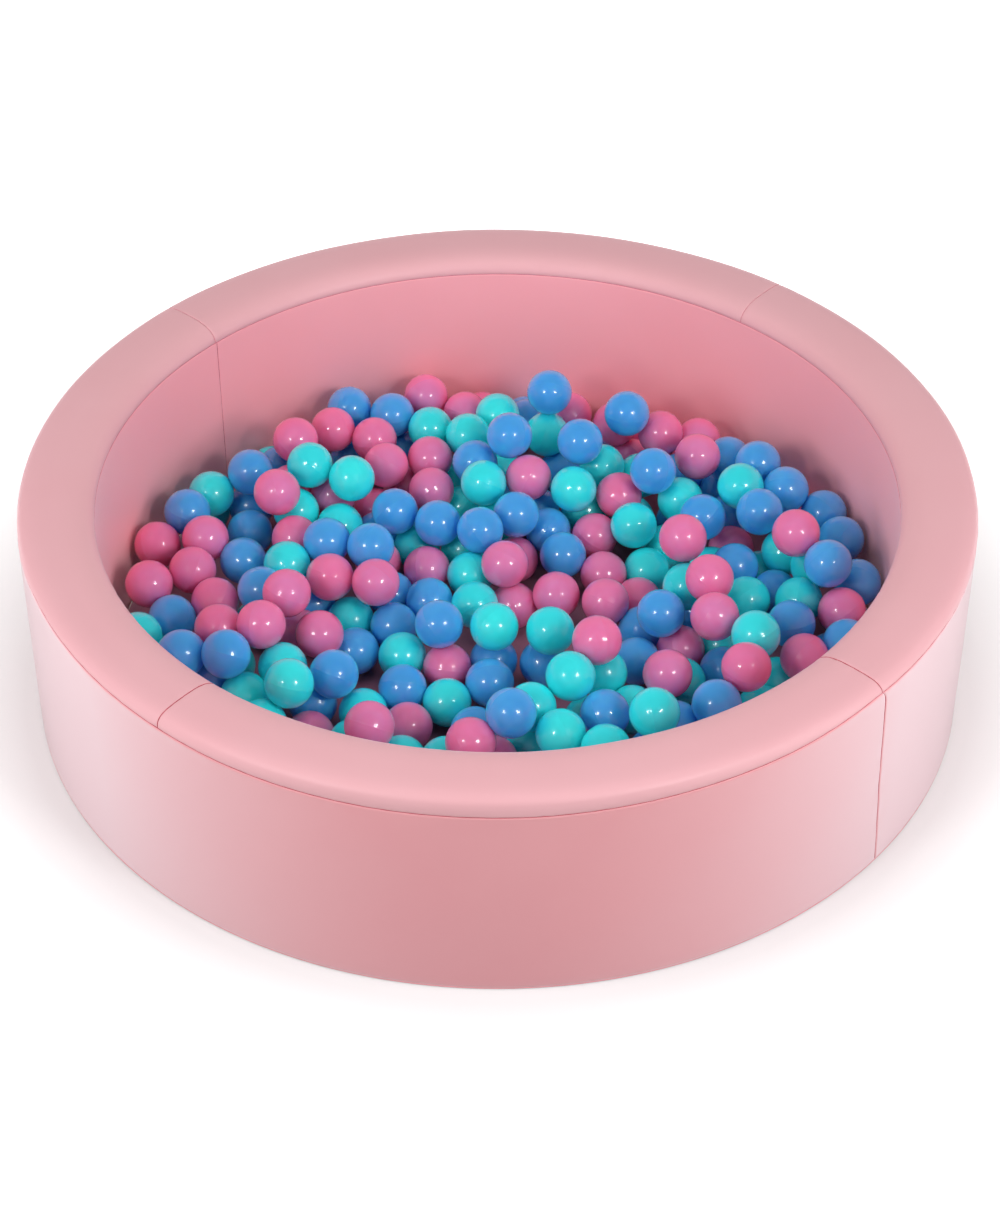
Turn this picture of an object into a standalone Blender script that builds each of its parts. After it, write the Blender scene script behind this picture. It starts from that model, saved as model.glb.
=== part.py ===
"""Round ball pit with play balls, built standing on the floor (z = 0) with its axis on +Z.

The camera of the photograph looks along +Y. The balls are placed by their centres in the photograph: each one
travels down its own sight line until it meets the mat, the wall or a ball that is already there.
"""

from math import asin, cos, pi, radians, sin, sqrt

import bmesh
import bpy
import numpy as np
from mathutils import Matrix, Vector

# Overall sizes, in metres.
outer_diameter = 1.200
wall_thickness = 0.095
rim_seam_height = 0.274
crown_rise = 0.024
cover_thickness = 0.002
mat_height = 0.020
mat_skin = 0.001
ball_diameter = 0.0625

# Clearances.
fit_gap = 0.0003
seam_gap = 0.0004
ball_gap = 0.0004
mat_side_gap = 0.0025

# Zip, low on the back of the outer wall.
zip_middle_height = 0.0165
zip_half_gap = 0.0008
coil_height = 0.0022
coil_depth = 0.0030
coil_recess = 0.0085
tape_thickness = 0.0012
slot_height = 0.0300
slot_floor = 0.0024
stop_length = 0.0060
stop_depth = 0.0016
stop_height = 0.0080
slider_length = 0.0140
slider_height = 0.0110
slider_plate = 0.0012
slider_post = 0.0009
slider_clear = 0.0006
pivot_stand = 0.0024
pin_radius = 0.0006
eye_hole_radius = 0.0010
eye_radius = 0.0020
lug_length = 0.0030
lug_inner = 0.0022
lug_thickness = 0.0010
tab_thickness = 0.0014
tab_length = 0.0280
tab_height = 0.0070
tab_neck_length = 0.0055
tab_neck_height = 0.0034
rebate_depth = 0.0135
rebate_height = 0.0340
rebate_slope = 0.0120

# Counts, shares and angles.
ring_steps = 48
quarter_steps = 12
zip_first_step = 1
zip_last_step = 11
crown_inner_power = 2.4
crown_outer_power = 3.85
crown_shares = (-1.0, -0.97, -0.88, -0.65, -0.3, 0.2, 0.6, 0.85, 0.97, 1.0)
top_seam_azimuth = 48.9
outer_seam_step = 36
inner_seam_step = 12
ball_vertex_share = 1.06
balls_across = 19.2
clump_ring_shares = ((1, 0.0), (6, 0.177), (11, 0.337))
clump_count = 18
hidden_ball_step = 7.9
hidden_arc_start = 30.0
hidden_arc_end = 152.0

# Camera of the photograph: place in pile widths, tilt in degrees, focal length and centre in pixels.
camera_place_shares = (0.0025, -2.301667, 1.934167)
camera_tilt = 39.12
camera_focal_px = 2723.5
centre_px = (500.0, 611.0)

# Ball centres in the photograph, in pixels, read by hand. Deep balls show a sliver, middle balls are partly hidden.
deep_balls = {
    "pink": "291,480 489,410 402,486 632,457 698,440 327,492 370,507 381.5,556 731,545 303,630 716,733",
    "blue": "281,461 352,452 401,445 507,490 527,414 591,443 561,464 680,468 721,489 255,500 378,527 386,589"
    " 537,503 675,520.5 731,508 212.5,669 312,604 313,703 683.5,611.5",
    "aqua": "455,482 464,507 500,470 646,472 578,485 584,503 497,512 411,543 458,546 627.5,518 665,544"
    " 711.5,562.5 757,572 231.5,665 257.5,623 722,645 776,681 531,744 588,720",
}
middle_balls = {
    "pink": "295.5,440 333,425 426,396 465,409 374.5,435 430,454 528.5,477.5 572,418 615,424 665,433 615,493"
    " 205.5,534 159.5,541 295,534 192.7,565.5 153,581.5 215,596.5 517,556 423,567 592.5,532 601.3,570.4"
    " 640.3,596.7 838,609 216.5,632 445,663 684.5,647 310,731 408,722 497,758",
    "blue": "250.5,472 349.5,408.5 390,415 475,458 728,459 758,459 785.5,485 187.5,507.5 250,528 239.5,558.5"
    " 323,539 261.5,590 429.5,596.5 548,526 563,550.6 526.3,602 823.5,508.5 843,535.5 735,562 859.5,578"
    " 776.5,589 174.3,614.5 182.5,652 394,621.5 355.2,651 493.5,660.5 402.7,684 642,625 640.3,659"
    " 551.5,663.5 791.3,619.5 847,638.5 723.5,666 680,723 472.5,727 656,748",
    "aqua": "213.5,490 426.5,426.5 501.5,413 468,431 549,438 602,471 680.5,500 298.5,507 289.5,560.5"
    " 340,521.5 466.5,572.5 646.7,566 686.5,586.5 784.5,551.5 814,561 798.8,596.3 750.3,597.7 140.5,632"
    " 285,670.5 247,692 262,719 346.6,617.8 402.3,651.5 444.8,698.5 364.5,709 600.5,677 683.5,677.5"
    " 531.3,707 630,705.7 761,709 349,741 404,756 449,759",
}
top_balls = {
    "pink": "386,462 330,574 434,488.5 375.7,579.3 684.4,540.5 709.6,578.4 796,533 262.7,627 319.5,635.8"
    " 597,640.2 714.8,613.4 803,655 746.3,664 369.4,726 473.3,741",
    "blue": "580,441.5 653,471 438.7,524.5 518.5,513 702.7,514.2 828,560.5 226,651 488.4,681.7 511,710"
    " 602.4,712.5 715.3,701.5",
    "aqua": "351,477 573.5,489 742,483.5 483.5,481.5 474.7,602 633,524 594.4,598 287.4,686 494.2,626.5"
    " 567.5,676 753.2,633.4 559.3,731.2",
}
loose_balls = {
    "pink": "277,492 697.5,458 286.7,590 503.5,565 556.5,580.3 666.3,674.5",
    "blue": "511,438 548,395 629.5,412 396.5,514 368,545 482.7,528.7 761,514.3 334,674 440.5,626.8"
    " 662.5,616",
    "aqua": "310,465 550.3,629.5 654.6,712.7 603.5,748",
}
deep_nudge_px = 7.0
middle_nudge_px = 4.5
top_nudge_px = 3.0
nudge_steps = 12
nudge_rings = (0.5, 1.0)
nudge_cost_share = 0.0128
tie_share = 0.001
touch_limit = 0.0035
longest_roll = 0.020
fill_spacing = 0.0025

outer_radius = outer_diameter / 2
inner_radius = outer_radius - wall_thickness
base_top = cover_thickness
wall_low = base_top + fit_gap


def material(name, colour, roughness):
    made = bpy.data.materials.get(name)
    if made is None:
        made = bpy.data.materials.new(name)
        made.use_nodes = True
        shader = made.node_tree.nodes["Principled BSDF"]
        shader.inputs["Base Color"].default_value = (*colour, 1.0)
        shader.inputs["Roughness"].default_value = roughness
    return made


def cover_pink():
    return material("cover_pink", (0.79, 0.44, 0.46), 0.35)


def cover_under():
    return material("cover_under", (0.60, 0.27, 0.28), 0.6)


def foam_white():
    return material("foam_white", (0.90, 0.88, 0.82), 0.9)


def zip_fabric():
    return material("zip_fabric", (0.68, 0.36, 0.38), 0.8)


def zip_metal():
    return material("zip_metal", (0.72, 0.70, 0.68), 0.3)


def ball_material(colour):
    colours = {"pink": (0.76, 0.19, 0.38), "blue": (0.07, 0.27, 0.70), "aqua": (0.05, 0.60, 0.62)}
    return material("ball_" + colour, colours[colour], 0.25)


def add_object(name, vertices, faces, surface):
    """One mesh object from points and faces, with every face turned outwards."""
    mesh = bpy.data.meshes.new(name)
    mesh.from_pydata([tuple(v) for v in vertices], [], [tuple(f) for f in faces])
    shape = bmesh.new()
    shape.from_mesh(mesh)
    bmesh.ops.recalc_face_normals(shape, faces=shape.faces)
    shape.to_mesh(mesh)
    shape.free()
    made = bpy.data.objects.new(name, mesh)
    made.data.materials.append(surface)
    bpy.context.scene.collection.objects.link(made)
    return made


def azimuth(step):
    return radians(top_seam_azimuth + 360.0 * step / ring_steps)


def turn_for(length, radius):
    """The angle that a length takes up on a circle of this radius."""
    return 2 * asin(length / 2 / radius)


def arc_angles(first, last, gap):
    """Angles of the ring's steps from first to last, with half a gap left off at each end."""
    angles = [azimuth(step) for step in range(first, last + 1)]
    inset = turn_for(gap, outer_radius) / 2
    angles[0] += inset
    angles[-1] -= inset
    return angles


def ring_piece(name, profile, angles, surface):
    """A profile of (radius, height) corners carried round the axis through the given angles, with flat ends."""
    points = [(r * cos(a), r * sin(a), z) for a in angles for r, z in profile]
    n = len(profile)
    faces = [
        (i * n + j, i * n + (j + 1) % n, (i + 1) * n + (j + 1) % n, (i + 1) * n + j)
        for i in range(len(angles) - 1)
        for j in range(n)
    ]
    faces.append(tuple(range(n)))
    faces.append(tuple((len(angles) - 1) * n + j for j in range(n)))
    return add_object(name, points, faces, surface)


def disc_piece(name, rings, surface):
    """Rings of (radius, height), closed by a flat face on the first and on the last."""
    points = []
    for r, z in rings:
        points += [(r * cos(azimuth(i)), r * sin(azimuth(i)), z) for i in range(ring_steps)]
    faces = []
    for k in range(len(rings) - 1):
        for i in range(ring_steps):
            j = (i + 1) % ring_steps
            low, high = k * ring_steps, (k + 1) * ring_steps
            faces.append((low + i, low + j, high + j, high + i))
    faces.append(tuple(range(ring_steps)))
    faces.append(tuple((len(rings) - 1) * ring_steps + i for i in range(ring_steps)))
    return add_object(name, points, faces, surface)


def strip_piece(name, inner, outer, angles, heights, is_open, surface):
    """An upright strip made of cells, leaving out those that are open."""
    steps, levels = len(angles) - 1, len(heights) - 1
    kept = {(i, j) for i in range(steps) for j in range(levels) if not is_open(i, j)}
    used = {}
    points = []

    def corner(i, j, r):
        key = (i, j, r)
        if key not in used:
            used[key] = len(points)
            points.append((r * cos(angles[i]), r * sin(angles[i]), heights[j]))
        return used[key]

    faces = []
    for i, j in sorted(kept):
        for r in (inner, outer):
            faces.append((corner(i, j, r), corner(i + 1, j, r), corner(i + 1, j + 1, r), corner(i, j + 1, r)))
        sides = (
            ((i, j - 1), (i, j), (i + 1, j)),
            ((i, j + 1), (i, j + 1), (i + 1, j + 1)),
            ((i - 1, j), (i, j), (i, j + 1)),
            ((i + 1, j), (i + 1, j), (i + 1, j + 1)),
        )
        for neighbour, a, b in sides:
            if neighbour not in kept:
                faces.append((corner(*a, inner), corner(*b, inner), corner(*b, outer), corner(*a, outer)))
    return add_object(name, points, faces, surface)


def crown(half_width, rise, base):
    """Points over the top of the wall, from the hollow's side outwards, rounder on the hollow's side."""
    middle = outer_radius - wall_thickness / 2
    points = []
    for u in crown_shares:
        power = crown_inner_power if u < 0 else crown_outer_power
        points.append((middle + u * half_width, base + rise * (1 - abs(u) ** power) ** (1 / power)))
    return points


def build_foam(quarter, with_rebate):
    low = wall_low
    inset = cover_thickness + fit_gap
    top = crown(wall_thickness / 2 - inset, crown_rise - inset, rim_seam_height)
    outer = outer_radius - inset
    profile = [(inner_radius + inset, low)]
    if with_rebate:
        profile.append((outer - rebate_depth, low))
        profile.append((outer - rebate_depth, rebate_height))
        profile.append((outer, rebate_height + rebate_slope))
    else:
        profile.append((outer, low))
    profile += list(reversed(top))
    first = quarter * quarter_steps
    angles = arc_angles(first, first + quarter_steps, seam_gap)
    ring_piece("foam_wall_" + str(quarter + 1), profile, angles, foam_white())


def build_cover_top(quarter):
    outside = crown(wall_thickness / 2, crown_rise, rim_seam_height)
    inside = crown(wall_thickness / 2 - cover_thickness, crown_rise - cover_thickness, rim_seam_height)
    profile = inside + list(reversed(outside))
    first = quarter * quarter_steps
    angles = arc_angles(first, first + quarter_steps, seam_gap)
    ring_piece("cover_top_" + str(quarter + 1), profile, angles, cover_pink())


def build_outer_strip():
    heights = [wall_low, slot_height, rim_seam_height - fit_gap]
    first = outer_seam_step - ring_steps
    angles = arc_angles(first, first + ring_steps, seam_gap)

    def is_open(i, j):
        return j == 0 and zip_first_step <= first + i < zip_last_step

    strip_piece("cover_outer_wall", outer_radius - cover_thickness, outer_radius, angles, heights, is_open,
                cover_pink())


def build_inner_strip():
    heights = [wall_low, rim_seam_height - fit_gap]
    first = inner_seam_step - ring_steps
    angles = arc_angles(first, first + ring_steps, seam_gap)
    strip_piece("cover_inner_wall", inner_radius, inner_radius + cover_thickness, angles, heights,
                lambda i, j: False, cover_pink())


def build_base():
    disc_piece("cover_base", [(outer_radius, 0.0), (outer_radius, base_top)], cover_under())


def build_mat():
    radius = inner_radius - mat_side_gap
    under_top = wall_low + mat_skin
    skirt_low = under_top + fit_gap
    core_radius = radius - mat_skin - fit_gap
    core_top = mat_height - mat_skin - fit_gap
    disc_piece("mat_cover_bottom", [(radius, wall_low), (radius, under_top)], cover_under())
    disc_piece("mat_foam", [(core_radius, skirt_low), (core_radius, core_top)], foam_white())
    rings = [
        (radius - mat_skin, mat_height - mat_skin),
        (radius - mat_skin, skirt_low),
        (radius, skirt_low),
        (radius, mat_height),
    ]
    disc_piece("mat_cover_top", rings, cover_under())


def coil_outer():
    return outer_radius - coil_recess


def build_zip_tapes():
    out = coil_outer()
    back = out - coil_depth
    web_back = back + (coil_depth - tape_thickness) / 2
    web_front = web_back + tape_thickness
    lip = outer_radius - fit_gap
    angles = arc_angles(zip_first_step, zip_last_step, 2 * seam_gap)
    for name, sign, far in (
        ("zip_tape_upper", 1, slot_height - fit_gap),
        ("zip_tape_lower", -1, wall_low),
    ):
        near = zip_middle_height + sign * zip_half_gap
        ridge = near + sign * coil_height
        flange = far - sign * tape_thickness
        profile = [
            (back, near),
            (out, near),
            (out, ridge),
            (web_front, ridge),
            (web_front, flange),
            (lip, flange),
            (lip, far),
            (web_back, far),
            (web_back, ridge),
            (back, ridge),
        ]
        ring_piece(name, profile, angles, zip_fabric())


def stop_angle(end):
    """Middle of the stop at the first (0) or the last (1) end of the zip."""
    inset = turn_for(stop_length, coil_outer())
    return azimuth(zip_first_step) + inset if end == 0 else azimuth(zip_last_step) - inset


def build_stops():
    near = coil_outer() + fit_gap
    half = stop_height / 2
    profile = [
        (near, zip_middle_height - half),
        (near + stop_depth, zip_middle_height - half),
        (near + stop_depth, zip_middle_height + half),
        (near, zip_middle_height + half),
    ]
    turn = turn_for(stop_length, coil_outer()) / 2
    for end in (0, 1):
        middle = stop_angle(end)
        ring_piece("zip_stop_" + str(end + 1), profile, [middle - turn, middle, middle + turn], zip_metal())


def box_points(x, y, z):
    return [(a, b, c) for a in x for b in y for c in z]


box_faces = [(0, 1, 3, 2), (4, 5, 7, 6), (0, 1, 5, 4), (2, 3, 7, 6), (0, 2, 6, 4), (1, 3, 7, 5)]


def helper_box(name, x, y, z):
    made = add_object(name, box_points(x, y, z), box_faces, zip_metal())
    return as_helper(made)


def helper_rod(name, x, y, z, radius, sides):
    points = [
        (x + radius * cos(2 * pi * i / sides), y + radius * sin(2 * pi * i / sides), level)
        for level in z
        for i in range(sides)
    ]
    faces = [(i, (i + 1) % sides, sides + (i + 1) % sides, sides + i) for i in range(sides)]
    faces.append(tuple(range(sides)))
    faces.append(tuple(range(sides, 2 * sides)))
    return as_helper(add_object(name, points, faces, zip_metal()))


def as_helper(made):
    made.hide_render = True
    made.display_type = "WIRE"
    return made


def combine(target, others, how):
    for other in others:
        cut = target.modifiers.new(other.name, "BOOLEAN")
        cut.object = other
        cut.operation = how
        cut.solver = "EXACT"


def turned(made, angle):
    """Moves a piece from the +X side of the ring to its own azimuth."""
    made.matrix_world = Matrix.Rotation(angle, 4, "Z")


def slider_angle():
    half = turn_for(stop_length + slider_length, coil_outer()) / 2
    return stop_angle(0) + half + turn_for(slider_clear, coil_outer())


def plate_front():
    return coil_outer() + slider_clear + slider_plate


def pivot_radius():
    return plate_front() + pivot_stand


def build_slider():
    """An I section that holds both tooth rows between two plates, with two lugs and a pin for the tab."""
    front = plate_front()
    front_back = front - slider_plate
    back_front = coil_outer() * cos(pi / ring_steps) - coil_depth - slider_clear
    back = back_front - slider_plate
    z, half, post = zip_middle_height, slider_height / 2, slider_post / 2
    section = [
        (back, z - half), (back_front, z - half), (back_front, z - post), (front_back, z - post),
        (front_back, z - half), (front, z - half), (front, z + half), (front_back, z + half),
        (front_back, z + post), (back_front, z + post), (back_front, z + half), (back, z + half),
    ]
    side = slider_length / 2
    points = [(r, t, height) for t in (-side, side) for r, height in section]
    n = len(section)
    faces = [(i, (i + 1) % n, n + (i + 1) % n, n + i) for i in range(n)]
    faces.append(tuple(range(n)))
    faces.append(tuple(range(n, 2 * n)))
    slider = add_object("zip_slider", points, faces, zip_metal())
    pivot = pivot_radius()
    reach = (front - slider_plate / 2, pivot + eye_hole_radius)
    width = (-lug_length / 2, lug_length / 2)
    outer = lug_inner + lug_thickness
    helpers = [
        helper_box("slider_lug_upper", reach, width, (z + lug_inner, z + outer)),
        helper_box("slider_lug_lower", reach, width, (z - outer, z - lug_inner)),
        helper_rod("slider_pin", pivot, 0.0, (z - lug_inner - lug_thickness / 2, z + lug_inner + lug_thickness / 2),
                   pin_radius, 10),
    ]
    combine(slider, helpers, "UNION")
    for made in [slider] + helpers:
        turned(made, slider_angle())


def build_tab():
    """The pull tab: an eye round the slider's pin, a narrow neck and a flat grip along the zip."""
    pivot, z = pivot_radius(), zip_middle_height
    thick = (pivot - tab_thickness / 2, pivot + tab_thickness / 2)
    neck, grip = tab_neck_height / 2, tab_height / 2
    points = box_points(thick, (tab_neck_length, tab_length), (z - grip, z + grip))
    tab = add_object("zip_tab", points, box_faces, zip_metal())
    neck_box = helper_box("tab_neck", thick, (eye_radius / 2 + eye_hole_radius / 2, tab_neck_length + tab_thickness),
                          (z - neck, z + neck))
    eye = helper_rod("tab_eye", pivot, 0.0, (z - neck, z + neck), eye_radius, 16)
    hole = helper_rod("tab_hole", pivot, 0.0, (z - grip, z + grip), eye_hole_radius, 12)
    combine(tab, [neck_box, eye], "UNION")
    combine(tab, [hole], "DIFFERENCE")
    for made in (tab, neck_box, eye, hole):
        turned(made, slider_angle())


def ball_facets():
    """Forty-eight facets of a ball, as corner directions: one for each order of the axes in each octant."""
    facets = []
    orders = ((0, 1, 2), (1, 2, 0), (2, 0, 1), (0, 2, 1), (2, 1, 0), (1, 0, 2))
    for octant in range(8):
        signs = np.array([1.0 if octant >> k & 1 else -1.0 for k in range(3)])
        for order in orders:
            tip = np.zeros(3)
            tip[order[0]] = signs[order[0]]
            edge = tip.copy()
            edge[order[1]] = signs[order[1]]
            edge /= sqrt(2)
            corners = np.array([tip, edge, signs / sqrt(3)])
            if np.linalg.det(corners) < 0:
                corners = corners[[0, 2, 1]]
            facets.append(corners)
    return np.array(facets)


def facet_normals(facets):
    crossed = np.cross(facets[:, 1] - facets[:, 0], facets[:, 2] - facets[:, 0])
    return crossed / np.linalg.norm(crossed, axis=1)[:, None]


facets = ball_facets()
normals = facet_normals(facets)
vertex_radius = ball_diameter / 2 * ball_vertex_share
facet_radius = float((normals[0] * facets[0][0]).sum()) * vertex_radius
hollow_reach = inner_radius * cos(pi / ring_steps) - vertex_radius - ball_gap
lowest_centre = mat_height + vertex_radius + ball_gap
pile_width = min(outer_diameter, ball_diameter * balls_across)
camera_place = np.array(camera_place_shares) * pile_width
tie = ball_gap * tie_share


def sight_line(px, py):
    tilt = radians(camera_tilt)
    forward = np.array([0.0, cos(tilt), -sin(tilt)])
    upward = np.array([0.0, sin(tilt), cos(tilt)])
    across = (px - centre_px[0]) / camera_focal_px
    down = (py - centre_px[1]) / camera_focal_px
    line = forward - down * upward
    line[0] += across
    return line / np.linalg.norm(line)


def blocked_spans(start, line, placed):
    """For each placed ball, where along the line a ball would be closer than the gap."""
    slope = normals @ line
    room = 2 * facet_radius + ball_gap - (start - placed) @ normals.T
    with np.errstate(divide="ignore", invalid="ignore"):
        reach = room / slope
    first = np.where(slope < 0, reach, -np.inf).max(axis=1)
    last = np.where(slope > 0, reach, np.inf).min(axis=1)
    level = slope == 0
    if level.any():
        first[(room[:, level] <= 0).any(axis=1)] = np.inf
    hit = first < last
    return first[hit], last[hit]


def is_free(t, first, last):
    return not ((first < t - tie) & (t + tie < last)).any()


def along_sight(px, py, placed):
    """The first free place down a sight line that touches something, or None."""
    line = sight_line(px, py)
    a = line[0] ** 2 + line[1] ** 2
    b = camera_place[0] * line[0] + camera_place[1] * line[1]
    c = camera_place[0] ** 2 + camera_place[1] ** 2 - hollow_reach**2
    inside = b * b - a * c
    if inside <= 0:
        return None
    enters = (-b - sqrt(inside)) / a
    leaves = (-b + sqrt(inside)) / a
    ends = min((lowest_centre - camera_place[2]) / line[2], leaves)
    if ends < enters:
        return None
    first, last = blocked_spans(camera_place, line, placed)
    for t in sorted(first[(first > enters) & (first < ends)].tolist()) + [ends]:
        if is_free(t, first, last):
            return camera_place + t * line
    return None


def settle(px, py, nudge, placed):
    """The lowest place within a small nudge of the ball's centre in the photograph."""
    best, best_cost = None, np.inf
    offsets = [(0.0, 0.0)]
    for ring in nudge_rings:
        for k in range(nudge_steps):
            turn = 2 * pi * k / nudge_steps
            offsets.append((nudge * ring * cos(turn), nudge * ring * sin(turn)))
    for dx, dy in offsets:
        place = along_sight(px + dx, py + dy, placed)
        if place is None:
            continue
        cost = place[2] + nudge_cost_share * ball_diameter * sqrt(dx * dx + dy * dy)
        if cost < best_cost - tie:
            best, best_cost = place, cost
    return best


def gauge(between):
    """How far apart two balls are in units of their facets: under twice facet_radius they overlap."""
    return (between @ normals.T).max(axis=-1)


def clear_of(place, placed):
    return not len(placed) or gauge(place - placed).min() >= 2 * facet_radius + ball_gap - tie


def table_rows(table):
    rows = []
    for colour, centres in table.items():
        for pair in centres.split():
            px, py = pair.split(",")
            rows.append((float(py), float(px), colour))
    return [(px, py, colour) for py, px, colour in sorted(rows)]


def under_the_rim(place):
    """True where the front of the wall hides the whole ball from the photograph's camera."""
    top = place + np.array([0.0, 0.0, vertex_radius])
    share = (rim_seam_height + crown_rise - camera_place[2]) / (top[2] - camera_place[2])
    crossing = camera_place + share * (top - camera_place)
    return crossing[1] < 0 and sqrt(crossing[0] ** 2 + crossing[1] ** 2) > inner_radius + ball_gap


def hidden_colour(index):
    return ("pink", "blue", "aqua")[index % 3]


def place_balls():
    """All balls, as a list of (colour, is_loose) and an array of centres."""
    kinds, placed = [], np.zeros((0, 3))

    def keep(place, colour, loose):
        nonlocal placed
        placed = np.vstack([placed, place])
        kinds.append((colour, loose))

    turn = hidden_arc_start
    while turn < hidden_arc_end:
        a = radians(turn)
        place = np.array([hollow_reach * cos(a), hollow_reach * sin(a), lowest_centre])
        if clear_of(place, placed):
            keep(place, hidden_colour(len(kinds)), False)
        turn += hidden_ball_step
    for table, nudge in ((deep_balls, deep_nudge_px), (middle_balls, middle_nudge_px)):
        for px, py, colour in table_rows(table):
            place = settle(px, py, nudge, placed)
            if place is not None:
                keep(place, colour, False)
    top = [(py, px, colour, False) for px, py, colour in table_rows(top_balls)]
    top += [(py, px, colour, True) for px, py, colour in table_rows(loose_balls)]
    for py, px, colour, loose in sorted(top):
        place = settle(px, py, top_nudge_px, placed)
        if place is None:
            place = over_the_pile(px, py, placed)
        keep(place, colour, loose)
    for place in fill_places(placed):
        keep(place, hidden_colour(len(kinds)), False)
    roll_together(placed, [loose for _, loose in kinds])
    seat_loose_balls(placed, [loose for _, loose in kinds])
    return kinds, placed


def over_the_pile(px, py, placed):
    """A place for a ball with no room on its sight line: above where that line meets the rim's height."""
    line = sight_line(px, py)
    place = camera_place + (rim_seam_height - camera_place[2]) / line[2] * line
    while not clear_of(place, placed):
        place[2] += ball_diameter / 4
    return place


def fill_places(placed):
    """Places on the mat for the balls behind the front of the wall, which the photograph can't show."""
    count = int(inner_radius / fill_spacing) + 2
    for row in range(count, -count, -1):
        for column in range(-count, count):
            place = np.array([column * fill_spacing, row * fill_spacing, lowest_centre])
            inside = place[0] ** 2 + place[1] ** 2 <= hollow_reach**2
            if inside and under_the_rim(place) and clear_of(place, placed):
                placed = np.vstack([placed, place])
                yield place


def roll_together(placed, loose):
    """Rolls each ball of the lowest layer that touches no other to its nearest neighbour, loose balls aside."""
    fixed = [i for i in range(len(placed)) if not loose[i]]
    for i in fixed:
        if placed[i][2] > lowest_centre + ball_diameter:
            continue
        others = placed[[j for j in fixed if j != i]]
        spans = gauge(others - placed[i]) - 2 * facet_radius
        nearest = int(spans.argmin())
        if spans[nearest] < 2 * ball_gap:
            continue
        way = (others[nearest] - placed[i]) * np.array([1.0, 1.0, 0.0])
        way /= np.linalg.norm(way)
        first, _ = blocked_spans(placed[i], way, others)
        ahead = first[first > 0]
        if not len(ahead) or ahead.min() > longest_roll:
            continue
        moved = placed[i] + ahead.min() * way
        if moved[0] ** 2 + moved[1] ** 2 <= hollow_reach**2:
            placed[i] = moved


def seat_loose_balls(placed, loose):
    """Lifts a loose ball off one that rolled under it, and lets one that touches nothing fall, the lowest first."""
    up = np.array([0.0, 0.0, 1.0])
    for i in sorted(np.nonzero(loose)[0].tolist(), key=lambda i: placed[i][2]):
        others = np.delete(placed, i, axis=0)
        first, last = blocked_spans(placed[i], up, others)
        lift = 0.0
        for start, end in sorted(zip(first.tolist(), last.tolist())):
            if start < lift < end:
                lift = end
        placed[i] = placed[i] + lift * up
        if gauge(others - placed[i]).min() - 2 * facet_radius < 2 * ball_gap:
            continue
        first, _ = blocked_spans(placed[i], -up, others)
        falls = first[first > 0].tolist() + [placed[i][2] - lowest_centre]
        placed[i] = placed[i] - min(falls) * up


def clump_middles():
    """Where the clumps lie: one in the middle of the pile, and rings of them round it."""
    places = []
    for count, share in clump_ring_shares:
        for k in range(count):
            turn = 2 * pi * k / count
            places.append((share * pile_width * cos(turn), share * pile_width * sin(turn)))
    return np.array(places)


def first_owners(away, near):
    """Each ball's clump: it starts at the ball nearest its middle and grows ball by ball, the smallest first."""
    owner = np.full(len(away), -1)
    for k in range(clump_count):
        free = np.nonzero(owner < 0)[0]
        owner[free[away[free, k].argmin()]] = k
    sizes = np.ones(clump_count, int)
    while True:
        best = None
        for i in np.nonzero(owner < 0)[0]:
            for k in sorted(set(owner[near[i]].tolist()) - {-1}):
                cost = (sizes[k], away[i, k], i)
                if best is None or cost < best[0]:
                    best = (cost, i, k)
        if best is None:
            return owner
        _, i, k = best
        owner[i] = k
        sizes[k] += 1


def largest_piece(members, near):
    """The largest group of these balls that touch one another."""
    left, best = set(members), set()
    while left:
        group, edge = set(), [min(left)]
        while edge:
            i = edge.pop()
            group.add(i)
            edge += [j for j in sorted(left - group) if near[i, j] and j not in edge]
        left -= group
        if len(group) > len(best):
            best = group
    return best


def even_out(owner, away, near):
    """Hands a ball, and what only that ball joins to its clump, to a smaller clump that the ball touches."""
    while True:
        sizes = np.bincount(owner[owner >= 0], minlength=clump_count)
        moves = []
        for i in np.nonzero(owner >= 0)[0]:
            for k in sorted(set(owner[near[i]].tolist()) - {-1, int(owner[i])}):
                if sizes[owner[i]] > sizes[k] + 1:
                    moves.append((sizes[k] - sizes[owner[i]], away[i, k] - away[i, owner[i]], i, k))
        for _, _, i, k in sorted(moves):
            members = set(np.nonzero(owner == owner[i])[0].tolist())
            handed = members - largest_piece(members - {i}, near)
            if sizes[k] + len(handed) < len(members):
                owner[sorted(handed)] = k
                break
        else:
            return


def join_members(members, centres, apart, used):
    """Joints between the balls of a clump, the closest first, with each facet used once."""
    joined, joints = [members[0]], []
    while True:
        best = None
        for i in joined:
            for j in members:
                if j in joined or apart[i, j] >= touch_limit:
                    continue
                face = int(((centres[j] - centres[i]) @ normals.T).argmax())
                back = int((-normals[face] @ normals.T).argmax())
                if (i, face) in used or (j, back) in used:
                    continue
                if best is None or apart[i, j] < best[0]:
                    best = (apart[i, j], i, j, face, back)
        if best is None:
            return joined, joints
        _, i, j, face, back = best
        joined.append(j)
        used.update({(i, face), (j, back)})
        joints.append((i, j, face, back))


def group_balls(centres):
    """The clumps, as lists of balls and of the joints between them. A ball that touches none is left out."""
    apart = gauge(centres[:, None] - centres[None]) - 2 * facet_radius
    near = apart < touch_limit
    np.fill_diagonal(near, False)
    away = np.linalg.norm(centres[:, None, :2] - clump_middles()[None], axis=2)
    owner = first_owners(away, near)
    even_out(owner, away, near)
    return [join_members(np.nonzero(owner == k)[0].tolist(), centres, apart, set()) for k in range(clump_count)]


def corner_key(direction):
    return tuple(int(round(value * 1000)) for value in direction)


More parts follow.
